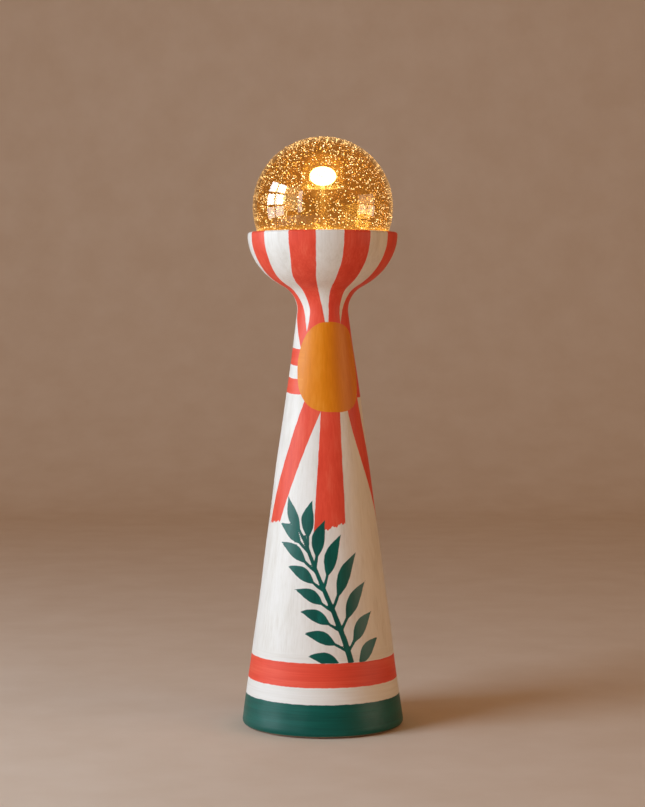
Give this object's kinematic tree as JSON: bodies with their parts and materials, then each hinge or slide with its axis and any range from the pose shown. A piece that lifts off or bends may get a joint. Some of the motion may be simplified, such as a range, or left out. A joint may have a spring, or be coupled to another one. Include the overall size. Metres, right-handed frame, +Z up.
{
  "type": "table lamp",
  "caption": "Cordless table lamp: a painted clay cone opening into a cup that holds an amber bubble-glass globe lit from inside.",
  "frame": {"origin": "on the table, under the middle of the foot", "axes": "+Z up the lamp's axis, +Y to the back where the switch and the charging socket are, +X to the right seen from the front"},
  "size_m": [0.1152, 0.1152, 0.42],
  "materials": {
    "painted_clay": "hand-painted clay, soft satin",
    "amber_glass": "amber blown glass full of bubbles",
    "silicone": "matte",
    "brass": "brushed",
    "clear_acrylic": "clear, polished",
    "cork": "matte cork",
    "zinc_steel": "zinc plated",
    "standoff_brass": "bright",
    "led_board": "white solder mask",
    "led_silicone": "translucent silicone dome",
    "frosted": "frosted",
    "plate_enamel": "satin black",
    "felt": "green felt",
    "black_plastic": "matte",
    "cell_wrap": "shrink wrap",
    "circuit_board": "green solder mask",
    "board_parts": "matte",
    "white_lead": "satin",
    "red_lead": "satin",
    "black_lead": "satin"
  },
  "bodies": {
    "lamp": {"clay_body": "painted_clay", "clay_cup": "painted_clay", "globe_gasket": "silicone", "switch_gasket": "silicone", "usb_gasket": "silicone", "stem_bush": "silicone", "gallery": "brass", "switch_barrel": "brass", "usb_barrel": "brass", "led_post": "clear_acrylic", "cork_washer": "cork", "gallery_nut": "zinc_steel", "stem_tube": "zinc_steel", "base_washer": "zinc_steel", "base_nut": "zinc_steel", "holder_screws": "zinc_steel", "led_board_screws": "zinc_steel", "switch_nut": "zinc_steel", "usb_nut": "zinc_steel", "usb_socket": "zinc_steel", "cell_contacts": "zinc_steel", "board_standoffs": "standoff_brass", "led_board": "led_board", "led_dome": "led_silicone", "frosted_cover": "frosted", "base_plate": "plate_enamel", "felt_ring": "felt", "battery_holder": "black_plastic", "switch_core": "black_plastic", "battery_left": "cell_wrap", "battery_right": "cell_wrap", "driver_board": "circuit_board", "driver_parts": "board_parts", "led_lead": "white_lead", "switch_lead": "red_lead", "battery_lead": "red_lead", "charge_lead": "black_lead"},
    "globe": {"glass_globe": "amber_glass", "globe_neck": "amber_glass"},
    "button": {"power_button": "brass"}
  },
  "joints": [
    {"name": "globe_lift", "type": "slide", "parent": "lamp", "child": "globe", "axis": [0, 0, 1], "range_m": [0, 0.095]},
    {"name": "button_press", "type": "slide", "parent": "lamp", "child": "button", "axis": [0, -0.9912, -0.1326], "range_m": [0, 0.0015], "stiffness_N_per_m": 1000, "springref_m": -0.001}
  ]
}
